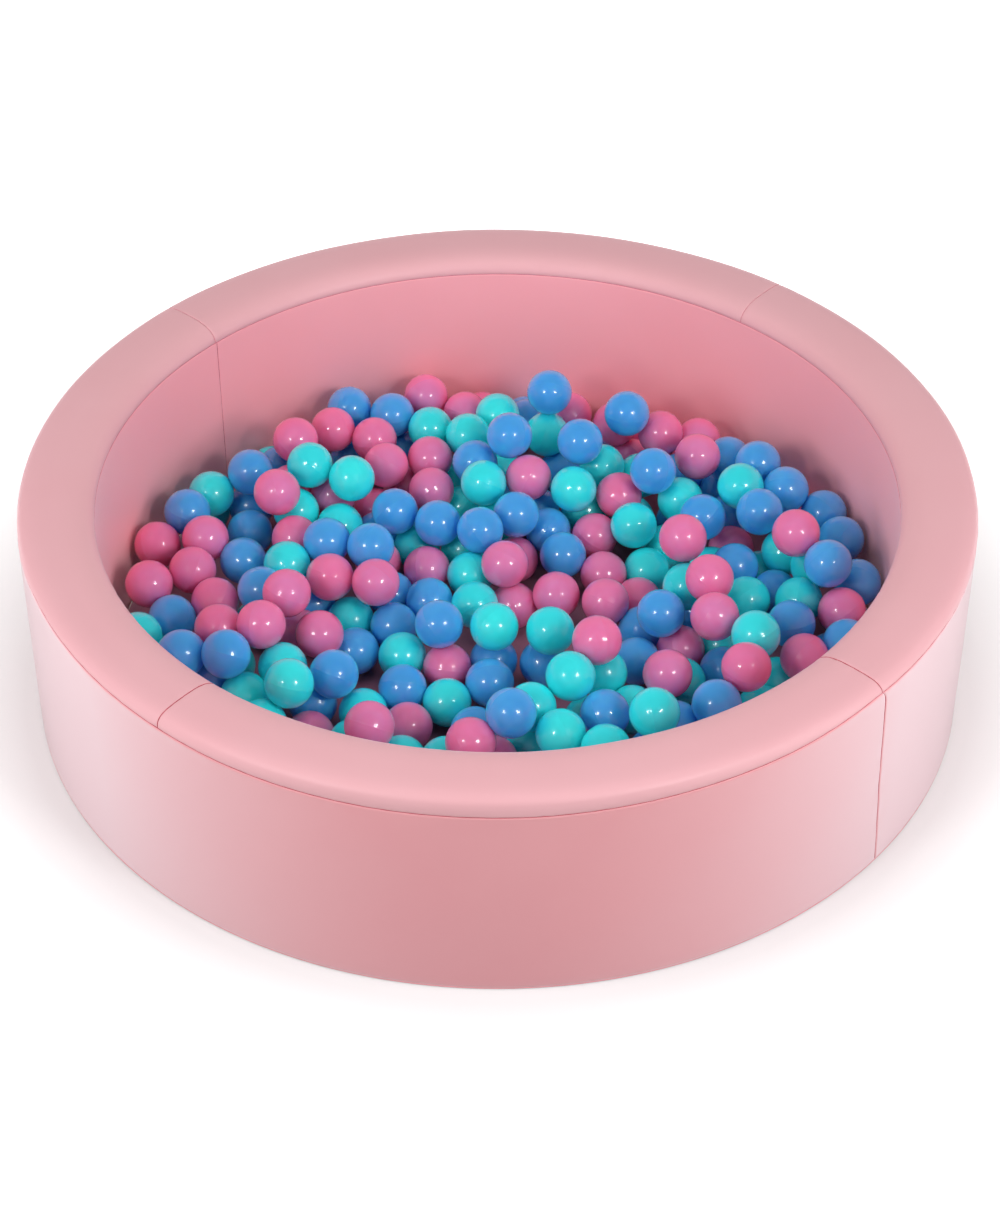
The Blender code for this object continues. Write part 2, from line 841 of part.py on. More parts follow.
def build_clump(name, members, joints, centres, surface):
    """Balls joined at their touching facets: the two facets go, and six small faces bridge their corners."""
    points, faces, index = [], [], {}
    removed = {(i, face) for i, _, face, _ in joints} | {(j, back) for _, j, _, back in joints}
    for ball in members:
        for k, facet in enumerate(facets):
            corners = []
            for direction in facet:
                key = (ball, corner_key(direction))
                if key not in index:
                    index[key] = len(points)
                    points.append(centres[ball] + direction * vertex_radius)
                corners.append(index[key])
            if (ball, k) not in removed:
                faces.append(corners)
    for i, j, face, _ in joints:
        a, b, c = (index[i, corner_key(direction)] for direction in facets[face])
        a2, b2, c2 = (index[j, corner_key(-direction)] for direction in facets[face])
        faces += [(a, b, c2), (b, c, a2), (c, a, b2), (a2, b2, c), (b2, c2, a), (c2, a2, b)]
    add_object(name, points, faces, surface)


def build_balls():
    kinds, placed = place_balls()
    set_index = [i for i, (_, loose) in enumerate(kinds) if not loose]
    centres = placed[set_index]
    for k, (members, joints) in enumerate(group_balls(centres)):
        colours = [kinds[set_index[i]][0] for i in members]
        most = max(sorted(set(colours)), key=colours.count)
        build_clump("balls_" + str(k + 1).zfill(2), sorted(members), joints, centres, ball_material(most))
    number = 0
    for (colour, loose), place in zip(kinds, placed):
        if loose:
            number += 1
            build_clump("loose_ball_" + str(number).zfill(2), [0], [], [place], ball_material(colour))


def main():
    for old in list(bpy.data.objects):
        bpy.data.objects.remove(old)
    bpy.context.scene.unit_settings.system = "METRIC"
    for quarter in range(4):
        build_foam(quarter, quarter == 0)
        build_cover_top(quarter)
    build_outer_strip()
    build_inner_strip()
    build_base()
    build_mat()
    build_zip_tapes()
    build_stops()
    build_slider()
    build_tab()
    build_balls()


main()
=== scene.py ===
"""Looks of the round ball pit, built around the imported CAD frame.

The pit stands on the floor (z = 0) with its axis on +Z, and the camera looks along +Y. Each ball is put where
the CAD has it, in a group or loose, and its colour comes from its place in the photograph.
"""

from math import atan2, cos, degrees, exp, pi, radians, sin, sqrt

import bmesh
import bpy
import numpy as np
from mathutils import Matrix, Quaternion, Vector
from mathutils.kdtree import KDTree


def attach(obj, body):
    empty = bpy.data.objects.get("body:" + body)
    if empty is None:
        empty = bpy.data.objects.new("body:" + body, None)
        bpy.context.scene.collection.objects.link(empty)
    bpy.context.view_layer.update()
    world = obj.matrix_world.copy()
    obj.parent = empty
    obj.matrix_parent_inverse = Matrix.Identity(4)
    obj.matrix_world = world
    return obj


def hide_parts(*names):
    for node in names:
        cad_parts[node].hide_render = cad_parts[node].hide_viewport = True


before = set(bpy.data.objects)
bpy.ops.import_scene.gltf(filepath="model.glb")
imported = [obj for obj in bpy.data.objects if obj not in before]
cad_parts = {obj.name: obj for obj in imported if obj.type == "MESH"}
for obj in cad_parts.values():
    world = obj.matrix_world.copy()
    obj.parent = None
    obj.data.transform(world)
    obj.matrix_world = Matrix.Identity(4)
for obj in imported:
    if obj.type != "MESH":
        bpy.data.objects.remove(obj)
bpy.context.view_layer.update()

# Sizes of the CAD model, in metres and degrees. The crown is steeper on its outer half than on its inner one,
# and the corners of a CAD ball lie a little outside the ball's own radius.
OUTER_RADIUS = 0.600
INNER_RADIUS = 0.505
SEAM_HEIGHT = 0.274
CROWN_RISE = 0.024
CROWN_POWER_INSIDE = 2.4
CROWN_POWER_OUTSIDE = 3.85
WALL_LOW = 0.0023
WALL_TOP = SEAM_HEIGHT - 0.0002
TOP_SEAM_AZIMUTHS = (48.9, 139.2, 230.2, 317.3)
INNER_SEAM_AZIMUTH = 138.9
ZIP_AZIMUTHS = (56.4, 131.4)
ZIP_SLOT_TOP = 0.030
MAT_HEIGHT = 0.020
MAT_RADIUS = 0.5025
BALL_RADIUS = 0.03125
CAD_BALL_CORNER = BALL_RADIUS * 1.06

# The outer wall's upright seam as (height, azimuth): it leans and hooks over under the rim.
OUTER_SEAM_PATH = ((0.0, 319.8), (0.05, 319.4), (0.14, 318.7), (0.22, 318.3), (0.262, 318.1), (0.270, 317.7),
                   (0.274, 317.3))

# Camera of the photograph. The sensor's 36 mm are the photograph's longer side.
CAMERA_PLACE = Vector((0.003, -2.762, 2.321))
CAMERA_TILT = 39.12
SENSOR_WIDTH = 36.0
FOCAL_LENGTH = 80.234
IMAGE_WIDTH, IMAGE_HEIGHT = 1000.0, 1222.0
FOCAL_PX = FOCAL_LENGTH / SENSOR_WIDTH * IMAGE_HEIGHT

# Ball colours by their centres in the photograph, in pixels. A ball counts as hidden where it is farther than
# NEAREST_PX from all of these.
BALL_TABLE = {
    "pink": "291,480 489,410 402,486 632,457 698,440 327,492 370,507 381.5,556 731,545 303,630 716,733"
    " 295.5,440 333,425 426,396 465,409 374.5,435 430,454 528.5,477.5 572,418 615,424 665,433 615,493"
    " 205.5,534 159.5,541 295,534 192.7,565.5 153,581.5 215,596.5 517,556 423,567 592.5,532 601.3,570.4"
    " 640.3,596.7 838,609 216.5,632 445,663 684.5,647 310,731 408,722 497,758"
    " 386,462 330,574 434,488.5 375.7,579.3 684.4,540.5 709.6,578.4 796,533 262.7,627 319.5,635.8"
    " 597,640.2 714.8,613.4 803,655 746.3,664 369.4,726 473.3,741"
    " 277,492 697.5,458 286.7,590 503.5,565 556.5,580.3 666.3,674.5",
    "blue": "281,461 352,452 401,445 507,490 527,414 591,443 561,464 680,468 721,489 255,500 378,527"
    " 386,589 537,503 675,520.5 731,508 212.5,669 312,604 313,703 683.5,611.5"
    " 250.5,472 349.5,408.5 390,415 475,458 728,459 758,459 785.5,485 187.5,507.5 250,528 239.5,558.5"
    " 323,539 261.5,590 429.5,596.5 548,526 563,550.6 526.3,602 823.5,508.5 843,535.5 735,562 859.5,578"
    " 776.5,589 174.3,614.5 182.5,652 394,621.5 355.2,651 493.5,660.5 402.7,684 642,625 640.3,659"
    " 551.5,663.5 791.3,619.5 847,638.5 723.5,666 680,723 472.5,727 656,748"
    " 580,441.5 653,471 438.7,524.5 518.5,513 702.7,514.2 828,560.5 226,651 488.4,681.7 511,710"
    " 602.4,712.5 715.3,701.5"
    " 511,438 548,395 629.5,412 396.5,514 368,545 482.7,528.7 761,514.3 334,674 440.5,626.8 662.5,616",
    "aqua": "455,482 464,507 500,470 646,472 578,485 584,503 497,512 411,543 458,546 627.5,518 665,544"
    " 711.5,562.5 757,572 231.5,665 257.5,623 722,645 776,681 531,744 588,720"
    " 213.5,490 426.5,426.5 501.5,413 468,431 549,438 602,471 680.5,500 298.5,507 289.5,560.5"
    " 340,521.5 466.5,572.5 646.7,566 686.5,586.5 784.5,551.5 814,561 798.8,596.3 750.3,597.7 140.5,632"
    " 285,670.5 247,692 262,719 346.6,617.8 402.3,651.5 444.8,698.5 364.5,709 600.5,677 683.5,677.5"
    " 531.3,707 630,705.7 761,709 349,741 404,756 449,759"
    " 351,477 573.5,489 742,483.5 483.5,481.5 474.7,602 633,524 594.4,598 287.4,686 494.2,626.5"
    " 567.5,676 753.2,633.4 559.3,731.2"
    " 310,465 550.3,629.5 654.6,712.7 603.5,748",
}
NEAREST_PX = 9.0
COLOURS = tuple(BALL_TABLE)


# Materials


CLOUD_RANGE = (0.35, 0.7)
CLOUD_SHARES = (0.0, 0.35)
BALL_LIGHT_DEPTH = 0.022


def linear(colour):
    """Shader values of a colour given as 0 to 255."""
    shares = [c / 255 for c in colour]
    return tuple(s / 12.92 if s <= 0.04045 else ((s + 0.055) / 1.055) ** 2.4 for s in shares)


def node(made, kind, **settings):
    added = made.node_tree.nodes.new(kind)
    for key, value in settings.items():
        setattr(added, key, value)
    return added


def join(made, source, target):
    made.node_tree.links.new(source, target)


def set_input(made, name, value):
    """Gives an input of a material's shader a value of its own, or the output of another node."""
    socket = made.node_tree.nodes["Principled BSDF"].inputs[name]
    if isinstance(value, bpy.types.NodeSocket):
        join(made, value, socket)
    else:
        socket.default_value = value


def new_material(name, colour, roughness, specular=0.5):
    made = bpy.data.materials.new(name)
    made.use_nodes = True
    set_input(made, "Base Color", (*linear(colour), 1.0))
    set_input(made, "Roughness", roughness)
    set_input(made, "Specular IOR Level", specular)
    return made


def object_coords(made):
    return node(made, "ShaderNodeTexCoord").outputs["Object"]


def texture(made, kind, coords, scale, **settings):
    added = node(made, kind, **settings)
    added.inputs["Scale"].default_value = scale
    join(made, coords, added.inputs["Vector"])
    return added


def noise(made, coords, scale, detail=3.0, roughness=0.5):
    added = texture(made, "ShaderNodeTexNoise", coords, scale)
    added.inputs["Detail"].default_value = detail
    added.inputs["Roughness"].default_value = roughness
    return added.outputs["Fac"]


def cells(made, coords, scale):
    return texture(made, "ShaderNodeTexVoronoi", coords, scale, feature="F1").outputs["Distance"]


def slanting_bands(made, coords, scale):
    added = texture(made, "ShaderNodeTexWave", coords, scale, wave_type="BANDS", bands_direction="DIAGONAL")
    return added.outputs["Fac"]


def facing(made):
    """0 where a surface is seen square on, towards 1 where it is seen at a slant."""
    weight = node(made, "ShaderNodeLayerWeight")
    weight.inputs["Blend"].default_value = 0.5
    return weight.outputs["Facing"]


def spread(made, value, old_range, new_range=(0.0, 1.0)):
    mapped = node(made, "ShaderNodeMapRange")
    for name, number in zip(("From Min", "From Max", "To Min", "To Max"), (*old_range, *new_range)):
        mapped.inputs[name].default_value = number
    join(made, value, mapped.inputs["Value"])
    return mapped.outputs["Result"]


def blend_colours(made, factor, first, second):
    mixed = node(made, "ShaderNodeMix", data_type="RGBA")
    join(made, factor, mixed.inputs["Factor"])
    for name, colour in (("A", first), ("B", second)):
        socket = [s for s in mixed.inputs if s.name == name and s.type == "RGBA"][0]
        if isinstance(colour, bpy.types.NodeSocket):
            join(made, colour, socket)
        else:
            socket.default_value = (*linear(colour), 1.0)
    return [s for s in mixed.outputs if s.type == "RGBA"][0]


def bump(made, heights, strength, distance):
    raised = node(made, "ShaderNodeBump")
    raised.inputs["Strength"].default_value = strength
    raised.inputs["Distance"].default_value = distance
    join(made, heights, raised.inputs["Height"])
    set_input(made, "Normal", raised.outputs["Normal"])


def ball_plastic(name, colour, other, deep, painted_slant_colour):
    """Glossy soft plastic: each ball has its own tone and faint clouds, and a painted glow makes it brighter
    and richer towards its edge.
    """
    made = new_material(name, colour, 0.3)
    coords = object_coords(made)
    each = node(made, "ShaderNodeNewGeometry").outputs["Random Per Island"]
    own = blend_colours(made, each, colour, other)
    clouds = spread(made, noise(made, coords, 38.0, 2.0), CLOUD_RANGE, CLOUD_SHARES)
    mixed = blend_colours(made, clouds, own, deep)
    # Painted glow: the colour turns brighter and richer towards the ball's edge, where it is seen at a slant.
    edge = spread(made, facing(made), (0.15, 0.75))
    set_input(made, "Base Color", blend_colours(made, edge, mixed, painted_slant_colour))
    scuffs = noise(made, coords, 70.0, 2.0)
    set_input(made, "Roughness", spread(made, scuffs, (0.3, 0.75), (0.28, 0.36)))
    set_input(made, "Coat Roughness", spread(made, scuffs, (0.3, 0.75), (0.07, 0.11)))
    set_input(made, "Coat Weight", 0.9)
    set_input(made, "Coat IOR", 1.5)
    bump(made, noise(made, coords, 60.0, 1.0), 0.02, 0.001)
    set_input(made, "Subsurface Weight", 1.0)
    set_input(made, "Subsurface Radius", (BALL_LIGHT_DEPTH, BALL_LIGHT_DEPTH, BALL_LIGHT_DEPTH))
    set_input(made, "Subsurface Scale", 1.0)
    return made


def leatherette(name, colour, deep, roughness=0.42, painted_slant_colour=(241, 208, 214), sheen=0.4, pale=(0.30, 0.66)):
    """Satin leatherette with faint clouds, a fine pebble and a painted sheen that turns it paler where it is
    seen at a slant.
    """
    made = new_material(name, colour, roughness)
    coords = object_coords(made)
    clouds = spread(made, noise(made, coords, 7.0), CLOUD_RANGE, CLOUD_SHARES)
    mixed = blend_colours(made, clouds, colour, deep)
    # Painted sheen: the base colour turns towards the paler colour where the surface is seen at a slant.
    paler = spread(made, facing(made), pale)
    set_input(made, "Base Color", blend_colours(made, paler, mixed, painted_slant_colour))
    pebble = cells(made, coords, 900.0)
    set_input(made, "Roughness", spread(made, pebble, (0.0, 0.8), (roughness - 0.05, roughness + 0.08)))
    bump(made, pebble, 0.05, 0.0006)
    set_input(made, "Sheen Weight", sheen)
    set_input(made, "Sheen Roughness", 0.35)
    return made


def foam_material():
    """Open foam with fine cells."""
    made = new_material("foam", (236, 232, 220), 0.95, 0.2)
    pores = cells(made, object_coords(made), 700.0)
    tones = spread(made, pores, (0.1, 0.7))
    set_input(made, "Base Color", blend_colours(made, tones, (226, 220, 205), (242, 239, 230)))
    bump(made, pores, 0.5, 0.001)
    return made


def tape_material():
    """Woven zip tape."""
    made = new_material("zip_tape", (226, 164, 172), 0.85, 0.2)
    weave = slanting_bands(made, object_coords(made), 420.0)
    set_input(made, "Base Color", blend_colours(made, weave, (218, 152, 162), (236, 178, 185)))
    bump(made, weave, 0.4, 0.0004)
    return made


def thread_material(name, colour, other):
    """Twisted sewing thread."""
    made = new_material(name, colour, 0.8, 0.2)
    twist = slanting_bands(made, object_coords(made), 900.0)
    set_input(made, "Base Color", blend_colours(made, twist, other, colour))
    bump(made, twist, 0.3, 0.0002)
    return made


def teeth_material():
    """Dyed nylon teeth, worn a little paler in places."""
    made = new_material("zip_teeth", (232, 174, 182), 0.35)
    worn = noise(made, object_coords(made), 320.0, 3.0, 0.6)
    tones = spread(made, worn, CLOUD_RANGE)
    set_input(made, "Base Color", blend_colours(made, tones, (226, 164, 172), (240, 190, 196)))
    set_input(made, "Roughness", spread(made, worn, (0.3, 0.7), (0.30, 0.45)))
    return made


def metal_material():
    """Plated metal with fine scratches."""
    made = new_material("zip_metal", (196, 194, 190), 0.3)
    set_input(made, "Metallic", 1.0)
    scratches = noise(made, object_coords(made), 900.0, 4.0, 0.6)
    set_input(made, "Roughness", spread(made, scratches, (0.3, 0.7), (0.24, 0.42)))
    return made


# The top panels, the outer wall and the inner wall take one leatherette in three copies. The top panels' copy
# is paler, for a painted sheen, and the inner wall's is brighter and redder, for painted light bounced round
# the hollow.
COVER = leatherette("cover_pink", (230, 174, 180), (227, 167, 173), painted_slant_colour=(233, 176, 183), sheen=0.2,
                    pale=(0.48, 0.90))
WALL = leatherette("cover_wall", (234, 162, 168), (231, 156, 163))
INNER = leatherette("cover_inside_painted_bounce", (255, 176, 184), (254, 169, 178), painted_slant_colour=(255, 190, 198), sheen=0.2,
                    pale=(0.48, 0.90))
UNDER = leatherette("cover_under", (178, 110, 108), (160, 92, 92), 0.55, (205, 160, 160))
# The mat's cover is the pink leatherette, painted darker and mauve for the shade that lies in the gaps
# between the balls.
MAT_PAINTED_SHADE = leatherette("mat_cover", (150, 96, 118), (134, 84, 106), 0.55, (180, 140, 155))
FOAM = foam_material()
TAPE = tape_material()
# One sewing thread in two copies: the second is painted lighter against the shade of the grooves, for the
# inner seams and the two top seams at the back.
THREAD = thread_material("seam_thread", (204, 84, 98), (184, 68, 84))
THREAD_PAINTED_LIGHTER = thread_material("seam_thread_painted_lighter", (222, 136, 148), (206, 118, 132))
TEETH = teeth_material()
METAL = metal_material()
# The last colour of each ball is its painted glow towards the edge.
BALLS = {
    "pink": ball_plastic("ball_pink", (240, 122, 168), (222, 136, 188), (222, 114, 164), (255, 124, 172)),
    "blue": ball_plastic("ball_blue", (80, 172, 234), (68, 162, 226), (62, 152, 216), (82, 182, 255)),
    "aqua": ball_plastic("ball_aqua", (58, 236, 234), (46, 222, 228), (42, 216, 220), (48, 244, 252)),
}
CAD_SURFACES = {
    "foam_wall": FOAM,
    "mat_foam": FOAM,
    "mat_cover_bottom": UNDER,
    "zip_slider": METAL,
    "zip_stop": METAL,
    "zip_tab": METAL,
}


def dress_cad():
    """Better materials on the CAD nodes whose shape stays."""
    for name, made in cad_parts.items():
        for start, surface in CAD_SURFACES.items():
            if name.startswith(start):
                made.data.materials.clear()
                made.data.materials.append(surface)


# Mesh helpers


SHARP_ANGLE = radians(38)


def add_piece(name, shape, materials, smooth=True):
    shape.normal_update()
    for edge in shape.edges:
        if len(edge.link_faces) == 2 and edge.calc_face_angle(0.0) > SHARP_ANGLE:
            edge.smooth = False
    mesh = bpy.data.meshes.new(name)
    shape.to_mesh(mesh)
    shape.free()
    for surface in materials:
        mesh.materials.append(surface)
    for face in mesh.polygons:
        face.use_smooth = smooth
    made = bpy.data.objects.new(name, mesh)
    bpy.context.scene.collection.objects.link(made)
    return made


def grid_piece(name, points, surface, is_loop=False):
    """A tube from rows of points, one round each station. Its ends are joined in a loop, or else closed."""
    rows, columns = len(points), len(points[0])
    shape = bmesh.new()
    made = [[shape.verts.new(p) for p in row] for row in points]
    for i in range(rows if is_loop else rows - 1):
        for j in range(columns):
            k, m = (i + 1) % rows, (j + 1) % columns
            shape.faces.new((made[i][j], made[i][m], made[k][m], made[k][j]))
    if not is_loop:
        shape.faces.new(made[0])
        shape.faces.new(list(reversed(made[-1])))
    bmesh.ops.recalc_face_normals(shape, faces=shape.faces)
    return add_piece(name, shape, [surface])


def polar(r, a, z):
    return Vector((r * cos(a), r * sin(a), z))


# Balls


# Each corner of a CAD ball votes for the centres that it could belong to. The votes are counted on a grid of
# VOTE_STEP, those within VOTE_REACH count as one place, and a centre has at least ENOUGH_VOTES there.
VOTE_STEP = 0.0002
VOTE_REACH = 0.0005
FEWEST_VOTES = 6
ENOUGH_VOTES = 20

# A ball's mesh: its rings as (angle from the pole, radius), closer together beside the parting line.
BALL_COLUMNS = 36
PARTING_RISE = 1.005
BALL_RINGS = ((11.0, 1.0), (22.0, 1.0), (33.0, 1.0), (44.0, 1.0), (55.0, 1.0), (66.0, 1.0), (77.0, 1.0),
              (84.0, 1.0), (88.3, 1.0), (89.4, PARTING_RISE))


def facet_directions():
    """The 26 corner directions of a CAD ball: 6 along the axes, 12 between two and 8 between three."""
    found = []
    for x in (-1, 0, 1):
        for y in (-1, 0, 1):
            for z in (-1, 0, 1):
                direction = np.array([x, y, z], float)
                if direction.any():
                    found.append(direction / np.linalg.norm(direction))
    return np.array(found)


def ball_centres(name):
    """Centres of the balls in a CAD node: the points that enough of the 26 corners agree on."""
    corners = np.array([v.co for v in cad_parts[name].data.vertices])
    corners = np.unique(np.round(corners, 6), axis=0)
    votes = (corners[:, None] - facet_directions()[None] * CAD_BALL_CORNER).reshape(-1, 3)
    keys, first, counts = np.unique(np.round(votes / VOTE_STEP).astype(int), axis=0, return_index=True,
                                    return_counts=True)
    tree = KDTree(len(keys))
    for i, key in enumerate(keys):
        tree.insert(key * VOTE_STEP, i)
    tree.balance()
    centres = []
    for i in np.argsort(-counts):
        if counts[i] < FEWEST_VOTES:
            break
        near = tree.find_range(keys[i] * VOTE_STEP, VOTE_REACH)
        total = sum(int(counts[k]) for _, k, _ in near)
        place = sum((votes[first[k]] * counts[k] for _, k, _ in near), np.zeros(3)) / total
        apart = all(np.linalg.norm(place - other) > BALL_RADIUS for other in centres)
        if total >= ENOUGH_VOTES and apart:
            centres.append(place)
    return sorted(centres, key=lambda c: (round(c[1], 3), c[0]))


def table_points():
    """The rows of the ball table as (x, y, colour)."""
    rows = []
    for colour, centres in BALL_TABLE.items():
        for pair in centres.split():
            px, py = pair.split(",")
            rows.append((float(px), float(py), colour))
    return rows


def in_photograph(place):
    """Pixel of a point in the photograph."""
    tilt = radians(CAMERA_TILT)
    forward = Vector((0.0, cos(tilt), -sin(tilt)))
    upward = Vector((0.0, sin(tilt), cos(tilt)))
    away = Vector(place) - CAMERA_PLACE
    depth = away.dot(forward)
    return IMAGE_WIDTH / 2 + FOCAL_PX * away.x / depth, IMAGE_HEIGHT / 2 - FOCAL_PX * away.dot(upward) / depth


def hidden_colour(place):
    """A colour for a ball that the photograph doesn't show, mixed up from its place."""
    return COLOURS[int(abs(place[0] * 731 + place[1] * 977 + place[2] * 503)) % len(COLOURS)]


def seen_colour(place, rows):
    """Colour of the table's ball that is nearest to this place in the photograph."""
    px, py = in_photograph(place)
    away, colour = min((sqrt((px - x) ** 2 + (py - y) ** 2), c) for x, y, c in rows)
    return colour if away <= NEAREST_PX else hidden_colour(place)


def unit_ball():
    """Points and faces of a ball of radius 1, with the fine raised parting line of its two halves."""
    rows = list(BALL_RINGS) + [(180.0 - angle, rise) for angle, rise in reversed(BALL_RINGS)]
    turns = [2 * pi * j / BALL_COLUMNS for j in range(BALL_COLUMNS)]
    points = [Vector((0, 0, 1))]
    for angle, rise in rows:
        theta = radians(angle)
        points += [Vector((sin(theta) * cos(a), sin(theta) * sin(a), cos(theta))) * rise for a in turns]
    points.append(Vector((0, 0, -1)))
    last = len(points) - 1
    faces = []
    for j in range(BALL_COLUMNS):
        k = (j + 1) % BALL_COLUMNS
        faces.append((0, 1 + j, 1 + k))
        faces.append((last, last - BALL_COLUMNS + k, last - BALL_COLUMNS + j))
        for i in range(len(rows) - 1):
            a, b = 1 + i * BALL_COLUMNS, 1 + (i + 1) * BALL_COLUMNS
            faces.append((a + j, b + j, b + k, a + k))
    return points, faces


def ball_piece(name, members, unit_points, unit_faces):
    """All the balls of one CAD node as one piece, each turned its own way."""
    shape = bmesh.new()
    for place, colour, turn in members:
        rotation = turn.to_matrix()
        centre = Vector(place)
        points = [shape.verts.new(centre + rotation @ (p * BALL_RADIUS)) for p in unit_points]
        for corners in unit_faces:
            face = shape.faces.new([points[i] for i in corners])
            face.material_index = COLOURS.index(colour)
    return add_piece(name, shape, [BALLS[c] for c in COLOURS])


def build_balls():
    rows = table_points()
    unit_points, unit_faces = unit_ball()
    chance = np.random.default_rng(7)
    for name in sorted(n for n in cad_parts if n.startswith(("balls_", "loose_ball_"))):
        members = []
        for place in ball_centres(name):
            turn = Quaternion(chance.normal(size=4)).normalized()
            members.append((place, seen_colour(place, rows), turn))
        piece = ball_piece(name + "_look", members, unit_points, unit_faces)
        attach(piece, name if name.startswith("loose") else "pit")
        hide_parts(name)


# Cover


# Seams: how deep and how wide the cover turns in, and where the stations beside a seam lie.
SKIN = 0.0020
DEEPEST = 0.9 * SKIN
GROOVE_DEPTH = 0.0012
TOP_GROOVE = 0.0009
INNER_GROOVE = 0.0006
GROOVE_HALF = 0.0026
HALF_SEAM = 0.0001
SEAM_STEPS = (0.0, 0.0005, 0.0010, 0.0016, 0.0024, 0.0036, 0.0060, 0.0100, 0.0160)

# Gathers beside a seam, and the waves of the foam below, which fade towards a seam.
PUCKER_DEPTH = 0.00018
PUCKER_LENGTH = 0.016
PUCKER_SHORTER = 0.0073
PUCKER_MIDDLE = 0.004
PUCKER_WIDTH = 0.006
WAVE_DEPTH = 0.00016
WAVE_FADE = 0.01

# How far above the CAD's height the outer rim seam runs, as (azimuth, lift). The wall below follows it over
# LIFT_REACH, and the crown reaches RIM_TAIL below the CAD's height to meet it.
RIM_LIFTS = ((0.0, 0.0), (192.0, 0.0), (203.0, 0.0115), (214.0, 0.0105), (226.0, 0.0064), (232.0, 0.0039),
             (238.0, 0.0009), (246.0, -0.0016), (256.0, -0.0030), (274.0, -0.0034), (286.0, -0.0007),
             (298.0, 0.0026), (304.0, 0.0042), (316.0, 0.0104), (330.0, 0.0094), (338.0, 0.0050),
             (348.0, 0.0), (360.0, 0.0))
LIFT_REACH = 0.10
RIM_TAIL = 0.004

# Spacing of the meshes, and the outer wall's foot, which turns in a little over the underside.
CROWN_STEPS = 2000
TANGENT_STEP = 0.0008
PANEL_STEP_ACROSS = 0.0030
PANEL_STEP_ALONG = 0.011
WALL_STEP_ALONG = 0.0115
WALL_ROWS = 18
LEAN_REACH = 0.25
FOOT_HEIGHT = 0.003
FOOT_TURN_IN = 0.0006
FOOT_MIDDLE = 0.016

# Threads: the middle of each lies THREAD_SHOWS above the bottom of its groove, and one with ends stops
# THREAD_END short of the rim seams and of the foot.
THREAD_RADIUS = 0.00042
THREAD_SIDES = 6
THREAD_SHOWS = 0.00015
THREAD_END = 0.001
RIM_THREAD_HEIGHT = SEAM_HEIGHT - 0.0001
RIM_THREAD_STEPS = 480
TOP_THREAD_STEPS = 60
UPRIGHT_THREAD_STEPS = 90


def groove(away, depth=GROOVE_DEPTH):
    """How far the cover turns in at this distance from a seam."""
    share = max(0.0, 1.0 - away / GROOVE_HALF)
    return depth * share * share


def pucker(away, along):
    """The faint gathers that a seam pulls into the cover beside it."""
    fade = exp(-((away - PUCKER_MIDDLE) / PUCKER_WIDTH) ** 2)
    shorter = 0.6 * sin(2 * pi * along / PUCKER_SHORTER + 1.3)
    return PUCKER_DEPTH * fade * (sin(2 * pi * along / PUCKER_LENGTH) + shorter)


def waves(turn, height):
    """Long shallow unevenness of the foam under the cover, up to about 0.3 mm."""
    return WAVE_DEPTH * (sin(9 * turn + 21 * height) + sin(17 * turn - 34 * height + 2.1) * 0.8)


def rim_lift(azimuth):
    """How far above the CAD's height the outer rim seam runs: it climbs beside the two front seams."""
    return float(np.interp(azimuth % 360, *zip(*RIM_LIFTS)))


def lifted(z, below, azimuth):
    """A height of the outer wall, moved with the rim seam: fully at the seam, less below it."""
    return z + rim_lift(azimuth) * max(0.0, 1 - below / LIFT_REACH)


def rim_radius(z):
    """Radius of the outer face at a height, on the wall or on the crown above it."""
    share = min(max(z - SEAM_HEIGHT, 0.0) / CROWN_RISE, 1.0)
    half = (OUTER_RADIUS - INNER_RADIUS) / 2
    return OUTER_RADIUS - half + half * (1 - share ** CROWN_POWER_OUTSIDE) ** (1 / CROWN_POWER_OUTSIDE)


def outer_seam_turn(z):
    """Azimuth of the outer wall's upright seam at a height."""
    heights, turns = zip(*OUTER_SEAM_PATH)
    return float(np.interp(z, heights, turns))


def stations(length, regular):
    """Distances from one seam to the next: close together beside the seams and regular between them."""
    near = [d for d in SEAM_STEPS if d < length / 3]
    inner = max(1, int(round((length - 2 * near[-1]) / regular)))
    middle = [near[-1] + (length - 2 * near[-1]) * i / inner for i in range(1, inner)]
    return near + middle + [length - d for d in reversed(near)]


def with_marks(places, marks):
    """The places with those nearest to the marks moved onto them."""
    for mark in marks:
        places[min(range(len(places)), key=lambda i: abs(places[i] - mark))] = mark
    return places


def crown_curve(inset=0.0):
    """The wall's top as (lengths, radii, heights), from the hollow outwards and a little down the outside."""
    half = (OUTER_RADIUS - INNER_RADIUS) / 2 - inset
    middle = (OUTER_RADIUS + INNER_RADIUS) / 2
    rise = CROWN_RISE - inset
    radii, heights = [], []
    for i in range(CROWN_STEPS + 1):
        u = -cos(pi * i / CROWN_STEPS)
        power = CROWN_POWER_INSIDE if u < 0 else CROWN_POWER_OUTSIDE
        radii.append(middle + u * half)
        heights.append(SEAM_HEIGHT + rise * (1 - abs(u) ** power) ** (1 / power))
    radii.append(radii[-1])
    heights.append(SEAM_HEIGHT - RIM_TAIL)
    steps = np.hypot(np.diff(radii), np.diff(heights))
    return np.concatenate([[0.0], np.cumsum(steps)]), np.array(radii), np.array(heights)


def crown_point(curve, at):
    """Radius, height and outward direction (radial, up) at a distance along the curve."""
    lengths, radii, heights = curve
    r, z = np.interp(at, lengths, radii), np.interp(at, lengths, heights)
    low, high = max(at - TANGENT_STEP, 0.0), min(at + TANGENT_STEP, lengths[-1])
    dr = np.interp(high, lengths, radii) - np.interp(low, lengths, radii)
    dz = np.interp(high, lengths, heights) - np.interp(low, lengths, heights)
    size = sqrt(dr * dr + dz * dz)
    return float(r), float(z), float(-dz / size), float(dr / size)


